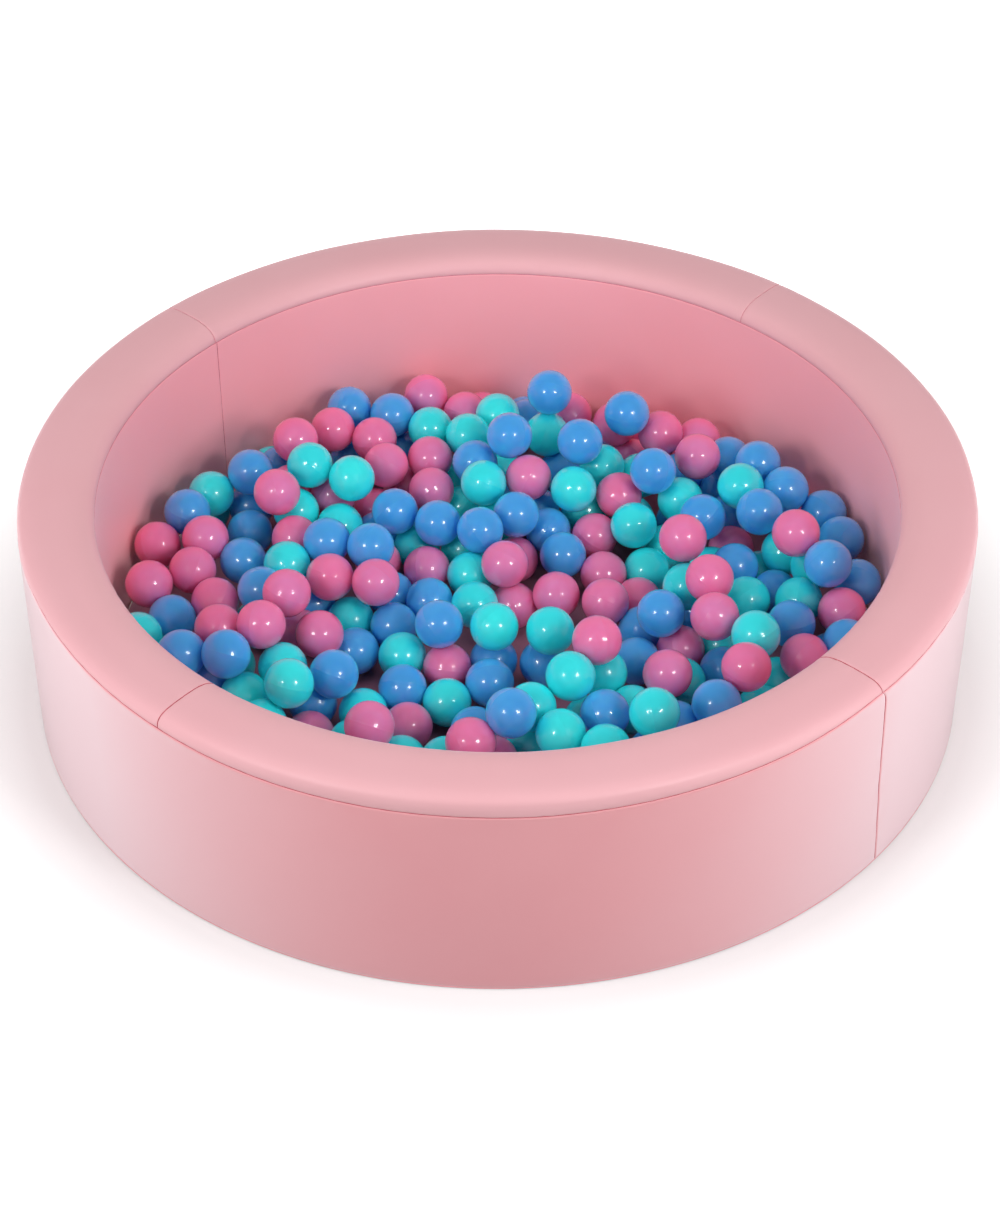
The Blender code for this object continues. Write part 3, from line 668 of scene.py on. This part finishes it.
def top_panel_rows(first, span, outside, inside):
    """Rows of points round a top panel's skin, from its seam at one azimuth to the one a span further."""
    length = span * OUTER_RADIUS
    width, width_inside = float(outside[0][-1]), float(inside[0][-1])
    across = stations(width, PANEL_STEP_ACROSS)
    rows = []
    for along in stations(length, PANEL_STEP_ALONG):
        end = min(along, length - along)
        a = radians(first) + span * along / length
        a += HALF_SEAM / OUTER_RADIUS * (1 - 2 * along / length)
        reach = 1.0 - (RIM_TAIL + rim_lift(degrees(a))) / width
        row = []
        for station in across:
            at = station * reach
            r, z, out, up = crown_point(outside, at)
            rim = width * reach - at
            side = min(at, rim)
            deep = max(groove(at, INNER_GROOVE), groove(rim), groove(end, TOP_GROOVE))
            deep += pucker(side, along) + pucker(end, at) - waves(a, z) * min(1.0, side / WAVE_FADE)
            deep = min(deep, DEEPEST)
            row.append(polar(r - out * deep, a, z - up * deep))
        for station in reversed(across):
            r, z, _, _ = crown_point(inside, station / width * reach * width_inside)
            row.append(polar(r, a, z))
        rows.append(row)
    return rows


def build_top_panels():
    outside, inside = crown_curve(), crown_curve(SKIN)
    for quarter in range(4):
        first, last = TOP_SEAM_AZIMUTHS[quarter], TOP_SEAM_AZIMUTHS[(quarter + 1) % 4]
        points = top_panel_rows(first, radians((last - first) % 360), outside, inside)
        piece = grid_piece("top_panel_" + str(quarter + 1), points, COVER)
        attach(piece, "pit")
        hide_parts("cover_top_" + str(quarter + 1))


def wall_levels(low):
    """Heights up a wall strip: regular from its foot, then close together under the rim seam."""
    upper = [WALL_TOP - d for d in SEAM_STEPS]
    rows = [low + (upper[-1] - low) * i / WALL_ROWS for i in range(1, WALL_ROWS)]
    return [low] + rows + list(reversed(upper))


def strip_faces(shape, shown, hidden, is_open):
    """The two skins of a strip and the edges that close them, apart from the cells that are open."""
    steps, rows = len(shown) - 1, len(shown[0]) - 1
    kept = {(i, j) for i in range(steps) for j in range(rows)
            if not is_open(shown[i][j].co, shown[i + 1][j].co, j)}
    for i, j in sorted(kept):
        for side in (shown, hidden):
            shape.faces.new((side[i][j], side[i + 1][j], side[i + 1][j + 1], side[i][j + 1]))
        for other, a, b in (((i, j - 1), (i, j), (i + 1, j)), ((i, j + 1), (i, j + 1), (i + 1, j + 1)),
                            ((i - 1, j), (i, j), (i, j + 1)), ((i + 1, j), (i + 1, j), (i + 1, j + 1))):
            if other not in kept:
                edge = (shown[a[0]][a[1]], shown[b[0]][b[1]], hidden[b[0]][b[1]], hidden[a[0]][a[1]])
                shape.faces.new(edge)
    bmesh.ops.delete(shape, geom=[v for v in shape.verts if not v.link_faces], context="VERTS")
    bmesh.ops.recalc_face_normals(shape, faces=shape.faces)


def wall_piece(name, radius, sign, seam_turn, levels, is_open, surface, marks=(), depth=GROOVE_DEPTH):
    """An upright strip once round the wall from its own seam. The sign is +1 where it faces outwards."""
    length = 2 * pi * radius
    start = seam_turn(SEAM_HEIGHT)
    marked = [radians((turn - start) % 360) * radius for turn in marks]
    shape = bmesh.new()
    shown, hidden = [], []
    for along in with_marks(stations(length, WALL_STEP_ALONG), marked):
        end = min(along, length - along)
        lean = 1.0 - min(1.0, end / LEAN_REACH)
        gap = HALF_SEAM / radius * (1 - 2 * along / length)
        upright, plain = [], []
        for z in levels:
            a = radians(start + (seam_turn(z) - start) * lean) + along / radius + gap
            top = WALL_TOP - z
            foot = FOOT_TURN_IN * max(0.0, 1 - (z - WALL_LOW) / FOOT_HEIGHT) ** 2
            deep = max(groove(top, depth), groove(end, depth), foot)
            deep += pucker(top, along) + pucker(end, z) - sign * waves(a, z) * min(1.0, top / WAVE_FADE)
            deep = min(deep, DEEPEST)
            height = lifted(z, top, degrees(a)) if sign > 0 else z
            face = rim_radius(height) if sign > 0 else radius
            upright.append(shape.verts.new(polar(face - sign * deep, a, height)))
            plain.append(shape.verts.new(polar(face - sign * SKIN, a, height)))
        shown.append(upright)
        hidden.append(plain)
    strip_faces(shape, shown, hidden, is_open)
    return add_piece(name, shape, [surface])


def build_walls():
    """The outer strip, open where the zip is, and the inner one."""
    foot = [WALL_LOW, WALL_LOW + 0.001, WALL_LOW + 0.002, WALL_LOW + FOOT_HEIGHT, FOOT_MIDDLE]

    def over_zip(a, b, row):
        turn = degrees(atan2(a.y + b.y, a.x + b.x)) % 360
        return row < len(foot) and ZIP_AZIMUTHS[0] < turn < ZIP_AZIMUTHS[1]

    outer = wall_piece("outer_wall", OUTER_RADIUS, 1, outer_seam_turn, foot + wall_levels(ZIP_SLOT_TOP),
                       over_zip, WALL, ZIP_AZIMUTHS)
    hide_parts("cover_outer_wall")
    inner = wall_piece("inner_wall", INNER_RADIUS, -1, lambda z: INNER_SEAM_AZIMUTH, wall_levels(WALL_LOW),
                       lambda a, b, row: False, INNER, depth=INNER_GROOVE)
    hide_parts("cover_inner_wall")
    for piece in (outer, inner):
        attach(piece, "pit")


def thread(name, path, surface, is_level=False):
    """The thread that shows at the bottom of a seam, as a round tube: a level one closes on itself."""
    points = []
    last = len(path) - 1
    for i, p in enumerate(path):
        if is_level:
            way, side = path[(i + 1) % len(path)] - path[i - 1], Vector((0, 0, 1))
        else:
            way, side = path[min(i + 1, last)] - path[max(i - 1, 0)], Vector((-p.y, p.x, 0)).normalized()
        up = way.normalized().cross(side).normalized()
        thick = THREAD_RADIUS * (1 + 0.12 * sin(i * 1.7))
        turns = [2 * pi * k / THREAD_SIDES for k in range(THREAD_SIDES)]
        points.append([p + (side * cos(a) + up * sin(a)) * thick for a in turns])
    piece = grid_piece(name, points, surface, is_level)
    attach(piece, "pit")


def build_rim_threads():
    deep, inset = GROOVE_DEPTH - THREAD_SHOWS, INNER_GROOVE - THREAD_SHOWS
    turns = [2 * pi * i / RIM_THREAD_STEPS for i in range(RIM_THREAD_STEPS)]
    heights = [RIM_THREAD_HEIGHT + rim_lift(degrees(a)) for a in turns]
    outer = [polar(rim_radius(z) - deep, a, z) for a, z in zip(turns, heights)]
    thread("rim_thread_outer", outer, THREAD, is_level=True)
    inner = [polar(INNER_RADIUS + inset, a, RIM_THREAD_HEIGHT) for a in turns]
    thread("rim_thread_inner", inner, THREAD_PAINTED_LIGHTER, is_level=True)


def build_top_threads():
    """One thread across each top seam. The two at the back take the thread painted lighter against the shade
    of their grooves.
    """
    curve = crown_curve()
    sunk = TOP_GROOVE - THREAD_SHOWS
    for k, turn in enumerate(TOP_SEAM_AZIMUTHS):
        end = curve[0][-1] - THREAD_END - RIM_TAIL - rim_lift(turn)
        path = []
        for at in np.linspace(THREAD_END, end, TOP_THREAD_STEPS):
            r, z, out, up = crown_point(curve, float(at))
            path.append(polar(r - out * sunk, radians(turn), z - up * sunk))
        thread("top_thread_" + str(k + 1), path, THREAD_PAINTED_LIGHTER if k < 2 else THREAD)


def build_upright_threads():
    deep, inset = GROOVE_DEPTH - THREAD_SHOWS, INNER_GROOVE - THREAD_SHOWS
    levels = np.linspace(WALL_LOW + THREAD_END, SEAM_HEIGHT - THREAD_END, UPRIGHT_THREAD_STEPS).tolist()
    outer = []
    for z in levels:
        turn = outer_seam_turn(z)
        height = lifted(z, SEAM_HEIGHT - z, turn)
        outer.append(polar(rim_radius(height) - deep, radians(turn), height))
    thread("outer_thread", outer, THREAD)
    inner = [polar(INNER_RADIUS + inset, radians(INNER_SEAM_AZIMUTH), z) for z in levels]
    thread("inner_thread", inner, THREAD_PAINTED_LIGHTER)


# Mat and underside


SHEET_STEPS = 192
MAT_LOW = 0.0036
MAT_SKIN = 0.0012
MAT_SHOULDER = MAT_HEIGHT - 0.006
MAT_INSIDE = MAT_RADIUS - 0.001
BASE_RADIUS = OUTER_RADIUS - 0.0002
BASE_THICK = 0.0020
BASE_EDGE = 0.598


def disc_sheet(name, rings, surface):
    """A round sheet from rings of (radius, height) that start and end on the axis."""
    shape = bmesh.new()
    rows = []
    for r, z in rings:
        if r == 0.0:
            rows.append([shape.verts.new((0, 0, z))] * SHEET_STEPS)
        else:
            rows.append([shape.verts.new(polar(r, 2 * pi * i / SHEET_STEPS, z)) for i in range(SHEET_STEPS)])
    for upper, lower in zip(rows, rows[1:]):
        for i in range(SHEET_STEPS):
            k = (i + 1) % SHEET_STEPS
            corners = []
            for v in (upper[i], upper[k], lower[k], lower[i]):
                if v not in corners:
                    corners.append(v)
            shape.faces.new(corners)
    bmesh.ops.recalc_face_normals(shape, faces=shape.faces)
    return add_piece(name, shape, [surface])


def mat_sheet():
    """The mat's upper cover, flat with a rolled edge."""
    flat = [(r, MAT_HEIGHT) for r in (0.0, 0.12, 0.24, 0.36, 0.46)]
    rolled = [(0.492, MAT_HEIGHT - 0.0001), (0.499, MAT_HEIGHT - 0.0008), (0.5018, MAT_HEIGHT - 0.0030),
              (MAT_RADIUS, MAT_SHOULDER), (MAT_RADIUS, MAT_LOW)]
    inside = [(MAT_INSIDE, MAT_LOW), (MAT_INSIDE, MAT_SHOULDER), (0.498, MAT_HEIGHT - MAT_SKIN),
              (0.0, MAT_HEIGHT - MAT_SKIN)]
    return disc_sheet("mat_top", flat + rolled + inside, MAT_PAINTED_SHADE)


def underside_sheet():
    """The sheet under the whole pit, whose rounded edge has the outer wall's colour."""
    lower = [(0.0, 0.0), (0.30, 0.0), (0.5975, 0.0), (0.5991, 0.0002), (BASE_RADIUS, 0.0008)]
    upper = [(BASE_RADIUS, 0.0014), (0.5991, 0.0019), (0.5975, BASE_THICK), (0.30, BASE_THICK),
             (0.0, BASE_THICK)]
    base = disc_sheet("base_sheet", lower + upper, UNDER)
    base.data.materials.append(WALL)
    for face in base.data.polygons:
        face.material_index = 1 if Vector(face.center[:2]).length > BASE_EDGE else 0
    return base


def build_sheets():
    mat, base = mat_sheet(), underside_sheet()
    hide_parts("mat_cover_top")
    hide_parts("cover_base")
    for piece in (mat, base):
        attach(piece, "pit")


# Zip


ZIP_MIDDLE = 0.0165
ZIP_END_GAP = 0.05
TAPE_STEPS = 150
TAPE_THICK = 0.0012
TAPE_SETBACK = 0.0009
TAPE_CLEARANCE = 0.0003
TAPE_GAP_HALF = 0.0008
TAPE_RIDGE = 0.0022
COIL_OUTER = 0.5915
COIL_BACK = 0.5885
COIL_CORE = 0.0006
TOOTH_PITCH = 0.0016
TOOTH_HALF = 0.00055


def build_zip():
    """The two woven tapes, bent round the wall, with a row of teeth on each."""
    web_back = COIL_BACK + TAPE_SETBACK
    web_front = web_back + TAPE_THICK
    lip = OUTER_RADIUS - TAPE_CLEARANCE
    back, front = COIL_BACK + COIL_CORE, COIL_OUTER - COIL_CORE
    first, last = (radians(turn) for turn in (ZIP_AZIMUTHS[0] + ZIP_END_GAP, ZIP_AZIMUTHS[1] - ZIP_END_GAP))
    turns = [first + (last - first) * i / TAPE_STEPS for i in range(TAPE_STEPS + 1)]
    for name, sign, far in (("zip_tape_upper", 1, ZIP_SLOT_TOP - TAPE_CLEARANCE),
                            ("zip_tape_lower", -1, WALL_LOW)):
        near = ZIP_MIDDLE + sign * TAPE_GAP_HALF
        ridge = near + sign * TAPE_RIDGE
        flange = far - sign * TAPE_THICK
        section = [(back, near), (front, near), (front, ridge), (web_front, ridge), (web_front, flange),
                   (lip, flange), (lip, far), (web_back, far), (web_back, ridge), (back, ridge)]
        tape = grid_piece(name + "_look", [[polar(r, a, z) for r, z in section] for a in turns], TAPE)
        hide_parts(name)
        teeth = tooth_row(name.replace("tape", "teeth"), first, last, near, ridge, sign)
        for piece in (tape, teeth):
            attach(piece, "pit")


def tooth_row(name, first, last, near, ridge, sign):
    """Rounded teeth in a row: each is a short bar across the tape with a narrower tip."""
    shape = bmesh.new()
    count = int((last - first) * COIL_OUTER / TOOTH_PITCH)
    middle = (COIL_OUTER + COIL_BACK) / 2
    for i in range(count):
        a = first + (last - first) * (i + 0.5) / count
        rows = []
        for z, share in ((near, 0.55), (near + sign * 0.0005, 1.0), (ridge - sign * 0.0004, 1.0),
                         (ridge, 0.7)):
            half = TOOTH_HALF / COIL_OUTER * share
            reach = (COIL_OUTER - COIL_BACK) / 2 * (0.75 + 0.25 * share)
            corners = ((middle - reach, a - half), (middle + reach, a - half),
                       (middle + reach, a + half), (middle - reach, a + half))
            rows.append([shape.verts.new(polar(r, turn, z)) for r, turn in corners])
        for lower, upper in zip(rows, rows[1:]):
            for k in range(4):
                m = (k + 1) % 4
                shape.faces.new((lower[k], lower[m], upper[m], upper[k]))
        shape.faces.new(rows[0])
        shape.faces.new(list(reversed(rows[-1])))
    bmesh.ops.recalc_face_normals(shape, faces=shape.faces)
    return add_piece(name, shape, [TEETH])


# Stage


# The floor glows where it is seen, and more from the first to the second distance of FLOOR_FADE, so that it
# is white and keeps the shadow near the pit. FLOOR_BOUNCE is its tone for the light that it sends back.
FLOOR_HALF_WIDTH = 12.0
FLOOR_HEIGHT = -0.0005
FLOOR_TONE = 0.80
FLOOR_GLOW = (0.10, 1.0)
FLOOR_FADE = (0.62, 1.1)
FLOOR_BOUNCE = 0.25
WORLD_LIGHT = 0.24
LIGHT_AIM = Vector((0, 0, 0.2))
LIGHT_DISTANCE = 3.2

# Each softbox with its direction, its width, its power and whether it shows in reflections.
SOFTBOXES = {
    "right": ((0.50, -0.64, 0.575), 0.6, 24, True),
    "left": ((-0.50, -0.64, 0.575), 0.55, 18, True),
    "side_right": ((0.86, -0.42, 0.28), 2.0, 49, False),
    "side_left": ((-0.88, -0.36, 0.28), 2.0, 52, False),
    "overhead": ((0.0, -0.05, 1.0), 2.0, 25, False),
    "behind": ((0.0, 0.99, 0.08), 2.0, 42, False),
}


def build_floor():
    shape = bmesh.new()
    bmesh.ops.create_grid(shape, x_segments=1, y_segments=1, size=FLOOR_HALF_WIDTH)
    floor = add_piece("floor", shape, [floor_material()], smooth=False)
    floor.location.z = FLOOR_HEIGHT


def seen_directly(made):
    """1 for the rays that see a surface or its reflection, 0 for those that light other surfaces."""
    path = node(made, "ShaderNodeLightPath")
    seen = path.outputs["Is Camera Ray"]
    for ray in ("Is Glossy Ray", "Is Transmission Ray"):
        either = node(made, "ShaderNodeMath", operation="MAXIMUM")
        join(made, seen, either.inputs[0])
        join(made, path.outputs[ray], either.inputs[1])
        seen = either.outputs[0]
    return seen


def mix_shaders(made, factor, first, second):
    mixed = node(made, "ShaderNodeMixShader")
    for source, socket in zip((factor, first, second), mixed.inputs):
        join(made, source, socket)
    return mixed.outputs[0]


def diffuse(made, tone):
    shader = node(made, "ShaderNodeBsdfDiffuse")
    shader.inputs["Color"].default_value = (tone, tone, tone, 1.0)
    return shader.outputs[0]


def floor_material():
    """White where it is seen, with the pit's shadow kept, and a plain tone for the light it sends back."""
    made = bpy.data.materials.new("floor_white")
    made.use_nodes = True
    made.node_tree.nodes.clear()
    away = node(made, "ShaderNodeVectorMath", operation="LENGTH")
    join(made, object_coords(made), away.inputs[0])
    glow = node(made, "ShaderNodeEmission")
    join(made, spread(made, away.outputs["Value"], FLOOR_FADE, FLOOR_GLOW), glow.inputs["Strength"])
    shown = node(made, "ShaderNodeAddShader")
    join(made, diffuse(made, FLOOR_TONE), shown.inputs[0])
    join(made, glow.outputs[0], shown.inputs[1])
    mixed = mix_shaders(made, seen_directly(made), diffuse(made, FLOOR_BOUNCE), shown.outputs[0])
    join(made, mixed, node(made, "ShaderNodeOutputMaterial").inputs["Surface"])
    return made


def build_world():
    """White to the camera, and a plain pale light on everything else."""
    world = bpy.data.worlds.new("studio")
    bpy.context.scene.world = world
    world.use_nodes = True
    world.node_tree.nodes.clear()
    backgrounds = []
    for strength in (WORLD_LIGHT, 1.0):
        background = node(world, "ShaderNodeBackground")
        background.inputs["Color"].default_value = (1, 1, 1, 1)
        background.inputs["Strength"].default_value = strength
        backgrounds.append(background.outputs[0])
    camera_ray = node(world, "ShaderNodeLightPath").outputs["Is Camera Ray"]
    mixed = mix_shaders(world, camera_ray, *backgrounds)
    join(world, mixed, node(world, "ShaderNodeOutputWorld").inputs["Surface"])


def build_lights():
    """Square softboxes round the pit."""
    for name, (direction, width, power, reflected) in SOFTBOXES.items():
        light = bpy.data.lights.new("softbox_" + name, "AREA")
        light.shape = "SQUARE"
        light.size = width
        light.energy = power
        made = bpy.data.objects.new("softbox_" + name, light)
        bpy.context.scene.collection.objects.link(made)
        way = Vector(direction).normalized()
        made.location = LIGHT_AIM + way * LIGHT_DISTANCE
        made.rotation_euler = way.to_track_quat("Z", "Y").to_euler()
        made.visible_glossy = reflected


def build_camera():
    camera = bpy.data.cameras.new("camera")
    camera.sensor_width = SENSOR_WIDTH
    camera.lens = FOCAL_LENGTH
    made = bpy.data.objects.new("camera", camera)
    bpy.context.scene.collection.objects.link(made)
    made.location = CAMERA_PLACE
    made.rotation_euler = (radians(90 - CAMERA_TILT), 0, 0)
    bpy.context.scene.camera = made


bpy.context.scene.view_settings.view_transform = "Standard"
build_camera()
dress_cad()
build_top_panels()
build_walls()
build_sheets()
build_zip()
build_rim_threads()
build_top_threads()
build_upright_threads()
build_balls()
build_floor()
build_world()
build_lights()
